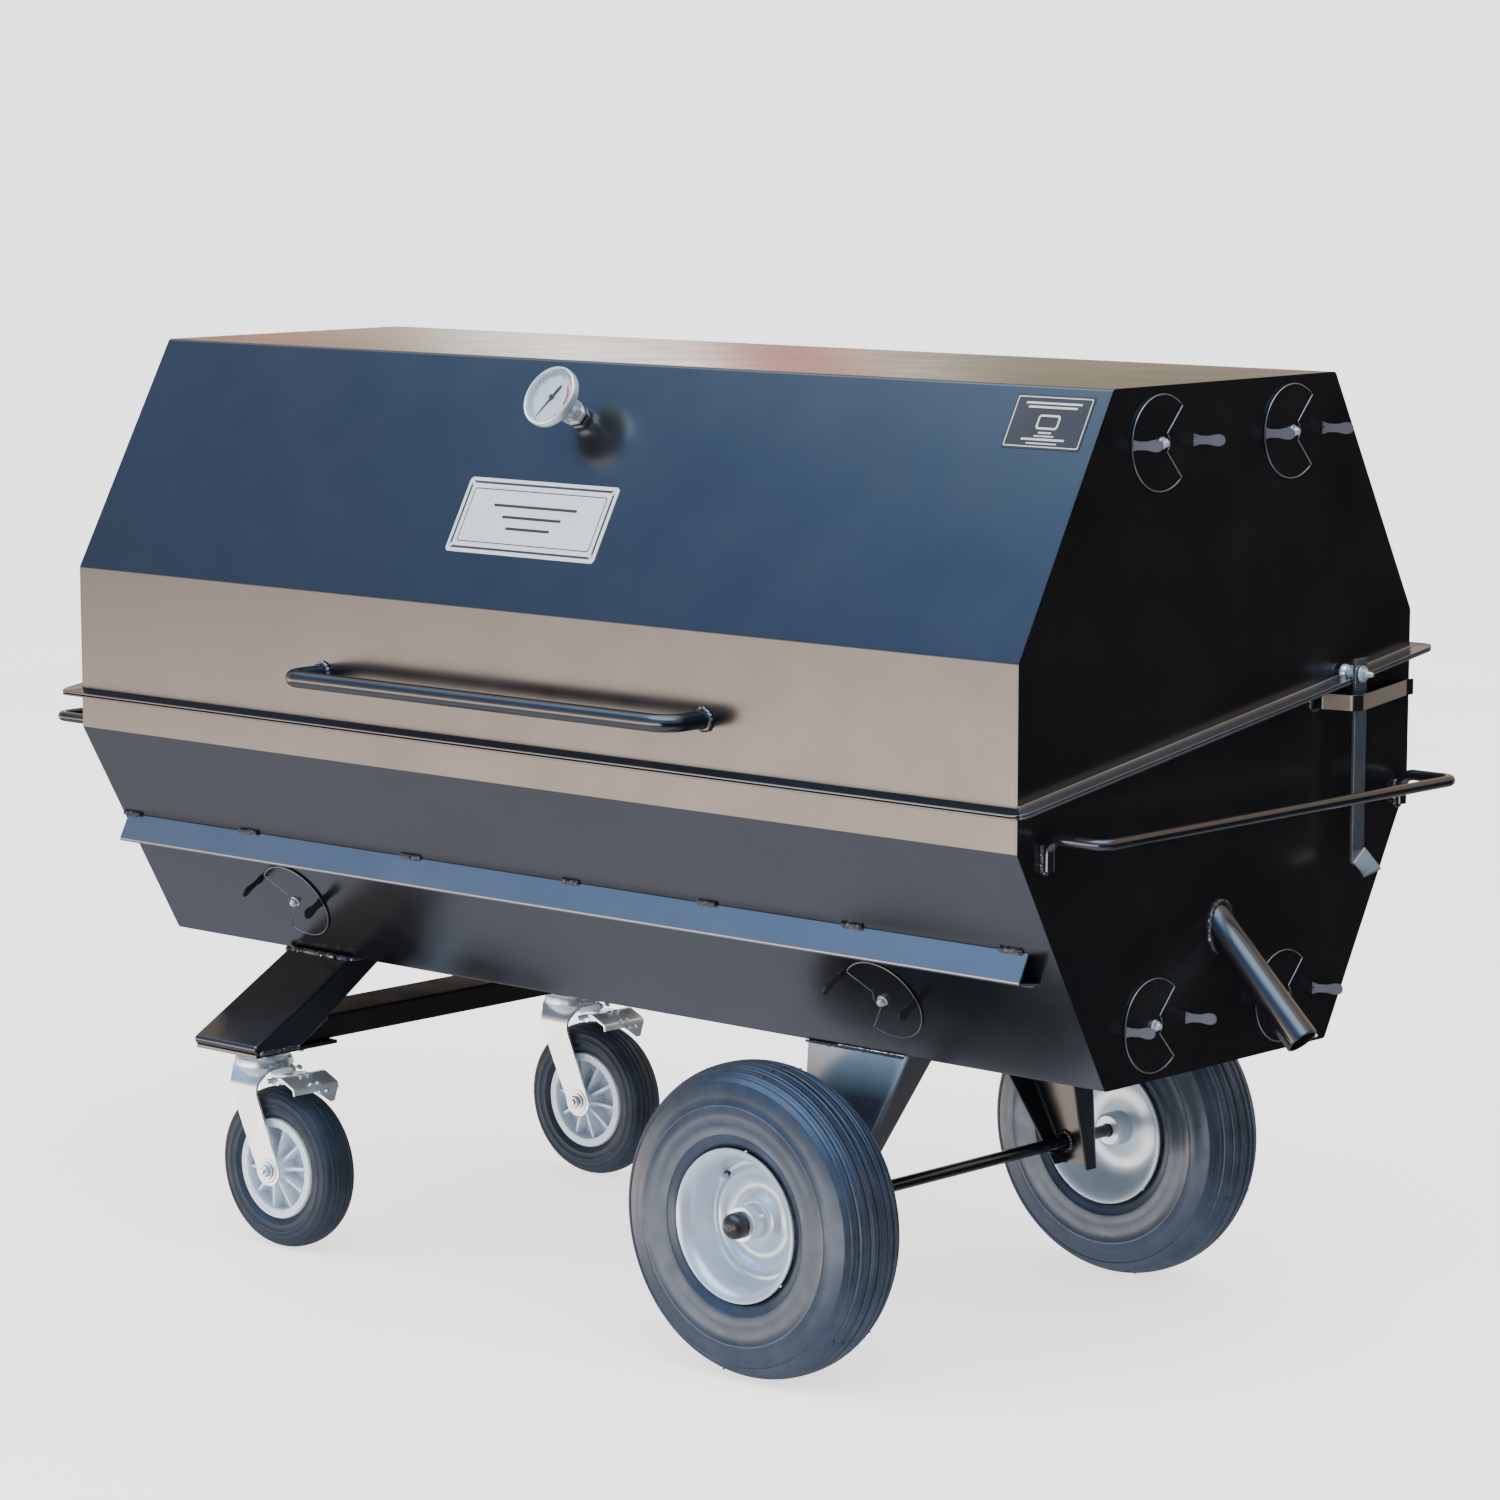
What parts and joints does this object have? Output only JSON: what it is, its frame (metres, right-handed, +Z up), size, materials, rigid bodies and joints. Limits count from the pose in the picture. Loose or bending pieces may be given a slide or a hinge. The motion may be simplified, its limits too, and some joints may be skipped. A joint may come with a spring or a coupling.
{
  "type": "rotisserie spit roaster",
  "caption": "Long six-sided charcoal spit roaster with hinged lid, motor-driven spit, drip pan drain, pneumatic wheels and braked swivel casters.",
  "frame": {"origin": "on the ground, under the centre of the overall bounding box", "axes": "+X along the body towards the end with the drain pipe and the big wheels, -Y towards the handle side, +Z up"},
  "size_m": [2.244, 1.0332, 1.418],
  "materials": {
    "black_paint": "semi-gloss black",
    "zinc": "bright zinc plate",
    "stainless": "brushed",
    "dark_steel": "oiled, raw",
    "tyre": "matte",
    "rim_paint": "satin grey",
    "cast_hub": "as cast",
    "glass": "clear",
    "plate": "satin",
    "pointer_red": "black",
    "motor_grey": "satin grey"
  },
  "bodies": {
    "frame": {"tub_shell": "black_paint", "tub_end_left": "black_paint", "tub_end_right": "black_paint", "front_rib": "black_paint", "leg_caster_front": "black_paint", "leg_caster_back": "black_paint", "caster_cross_beam": "black_paint", "leg_wheel_front": "black_paint", "leg_wheel_back": "black_paint", "axle": "black_paint", "push_rail_left": "black_paint", "push_rail_right": "black_paint", "drain_pipe": "black_paint", "stay_guide": "black_paint", "hinge_leaf_tub_left": "black_paint", "hinge_leaf_tub_right": "black_paint", "motor_bracket": "black_paint", "drip_pan": "stainless", "fire_grate": "dark_steel", "spit_cradle": "dark_steel", "drive_bush": "dark_steel", "gear_motor": "motor_grey", "caster_plate_front": "zinc", "caster_plate_back": "zinc"},
    "lid": {"lid_shell": "black_paint", "lid_end_left": "black_paint", "lid_end_right": "black_paint", "lid_handle": "black_paint", "hinge_leaf_lid_left": "black_paint", "hinge_leaf_lid_right": "black_paint", "name_plate": "plate", "thermometer_case": "zinc", "thermometer_lens": "glass"},
    "thermometer_pointer": {"thermometer_pointer": "pointer_red"},
    "lid_stay": {"lid_stay": "black_paint"},
    "spit": {"spit_rod": "stainless", "fork_left": "stainless", "fork_right": "stainless"},
    "wheel_front": {"wheel_tyre_front": "tyre", "wheel_rim_front": "rim_paint"},
    "caster_front": {"caster_fork_front": "zinc"},
    "caster_wheel_front": {"caster_hub_front": "cast_hub", "caster_tyre_front": "tyre"},
    "brake_front": {"brake_pedal_front": "zinc"},
    "wheel_back": {"wheel_tyre_back": "tyre", "wheel_rim_back": "rim_paint"},
    "caster_back": {"caster_fork_back": "zinc"},
    "caster_wheel_back": {"caster_hub_back": "cast_hub", "caster_tyre_back": "tyre"},
    "brake_back": {"brake_pedal_back": "zinc"},
    "damper_right_upper_front": {"damper_right_upper_front": "black_paint"},
    "damper_right_upper_back": {"damper_right_upper_back": "black_paint"},
    "damper_right_lower_front": {"damper_right_lower_front": "black_paint"},
    "damper_right_lower_back": {"damper_right_lower_back": "black_paint"},
    "damper_left_upper_front": {"damper_left_upper_front": "black_paint"},
    "damper_left_upper_back": {"damper_left_upper_back": "black_paint"},
    "damper_left_lower_front": {"damper_left_lower_front": "black_paint"},
    "damper_left_lower_back": {"damper_left_lower_back": "black_paint"},
    "damper_front_left": {"damper_front_left": "black_paint"},
    "damper_front_right": {"damper_front_right": "black_paint"}
  },
  "joints": [
    {"name": "lid_hinge", "type": "hinge", "parent": "frame", "child": "lid", "pos_m": [0.00004, 0.50972, 1.01059], "axis": [-1, 0, 0], "range_deg": [0, 56]},
    {"name": "stay_pivot", "type": "hinge", "parent": "lid", "child": "lid_stay", "pos_m": [0.99204, 0.30332, 0.9875], "axis": [1, 0, 0], "range_deg": [0, 36]},
    {"name": "thermometer_needle", "type": "hinge", "parent": "lid", "child": "thermometer_pointer", "pos_m": [0.00004, -0.32929, 1.37017], "axis": [0, 0.8736, -0.4866], "range_deg": [0, 270], "stiffness_Nm_per_rad": 0.02},
    {"name": "spit_spin", "type": "hinge", "parent": "frame", "child": "spit", "pos_m": [0.00004, 0.02232, 0.85], "axis": [1, 0, 0], "continuous": true},
    {"name": "wheel_front_spin", "type": "hinge", "parent": "frame", "child": "wheel_front", "pos_m": [0.47404, -0.39568, 0.2286], "axis": [0, 1, 0], "continuous": true},
    {"name": "caster_front_swivel", "type": "hinge", "parent": "frame", "child": "caster_front", "pos_m": [-0.65296, -0.32768, 0.3], "axis": [0, 0, 1], "continuous": true},
    {"name": "caster_wheel_front_spin", "type": "hinge", "parent": "caster_front", "child": "caster_wheel_front", "pos_m": [-0.59796, -0.32768, 0.129], "axis": [0, 1, 0], "continuous": true},
    {"name": "brake_front_press", "type": "hinge", "parent": "caster_front", "child": "brake_front", "pos_m": [-0.60296, -0.32768, 0.27], "axis": [0, 1, 0], "range_deg": [0, 5]},
    {"name": "wheel_back_spin", "type": "hinge", "parent": "frame", "child": "wheel_back", "pos_m": [0.47404, 0.44032, 0.2286], "axis": [0, 1, 0], "continuous": true},
    {"name": "caster_back_swivel", "type": "hinge", "parent": "frame", "child": "caster_back", "pos_m": [-0.65296, 0.37232, 0.3], "axis": [0, 0, 1], "continuous": true},
    {"name": "caster_wheel_back_spin", "type": "hinge", "parent": "caster_back", "child": "caster_wheel_back", "pos_m": [-0.59796, 0.37232, 0.129], "axis": [0, 1, 0], "continuous": true},
    {"name": "brake_back_press", "type": "hinge", "parent": "caster_back", "child": "brake_back", "pos_m": [-0.60296, 0.37232, 0.27], "axis": [0, 1, 0], "range_deg": [0, 5]},
    {"name": "damper_right_upper_front_turn", "type": "hinge", "parent": "lid", "child": "damper_right_upper_front", "pos_m": [0.96004, -0.12768, 1.34], "axis": [1, 0, 0], "range_deg": [0, 160]},
    {"name": "damper_right_upper_back_turn", "type": "hinge", "parent": "lid", "child": "damper_right_upper_back", "pos_m": [0.96004, 0.17232, 1.34], "axis": [1, 0, 0], "range_deg": [0, 160]},
    {"name": "damper_right_lower_front_turn", "type": "hinge", "parent": "frame", "child": "damper_right_lower_front", "pos_m": [0.96004, -0.12768, 0.535], "axis": [1, 0, 0], "range_deg": [0, 160]},
    {"name": "damper_right_lower_back_turn", "type": "hinge", "parent": "frame", "child": "damper_right_lower_back", "pos_m": [0.96004, 0.17232, 0.535], "axis": [1, 0, 0], "range_deg": [0, 160]},
    {"name": "damper_left_upper_front_turn", "type": "hinge", "parent": "lid", "child": "damper_left_upper_front", "pos_m": [-0.95996, -0.12768, 1.34], "axis": [-1, 0, 0], "range_deg": [0, 160]},
    {"name": "damper_left_upper_back_turn", "type": "hinge", "parent": "lid", "child": "damper_left_upper_back", "pos_m": [-0.95996, 0.17232, 1.34], "axis": [-1, 0, 0], "range_deg": [0, 160]},
    {"name": "damper_left_lower_front_turn", "type": "hinge", "parent": "frame", "child": "damper_left_lower_front", "pos_m": [-0.95996, -0.12768, 0.535], "axis": [-1, 0, 0], "range_deg": [0, 160]},
    {"name": "damper_left_lower_back_turn", "type": "hinge", "parent": "frame", "child": "damper_left_lower_back", "pos_m": [-0.95996, 0.17232, 0.535], "axis": [-1, 0, 0], "range_deg": [0, 160]},
    {"name": "damper_front_left_turn", "type": "hinge", "parent": "frame", "child": "damper_front_left", "pos_m": [-0.61796, -0.28427, 0.54825], "axis": [0, -0.8746, -0.4849], "range_deg": [0, 134]},
    {"name": "damper_front_right_turn", "type": "hinge", "parent": "frame", "child": "damper_front_right", "pos_m": [0.60504, -0.28427, 0.54825], "axis": [0, -0.8746, -0.4849], "range_deg": [0, 134]}
  ],
  "couplings": [
    {"joint": "stay_pivot", "follows": "lid_hinge", "ratio": 0.64}
  ]
}
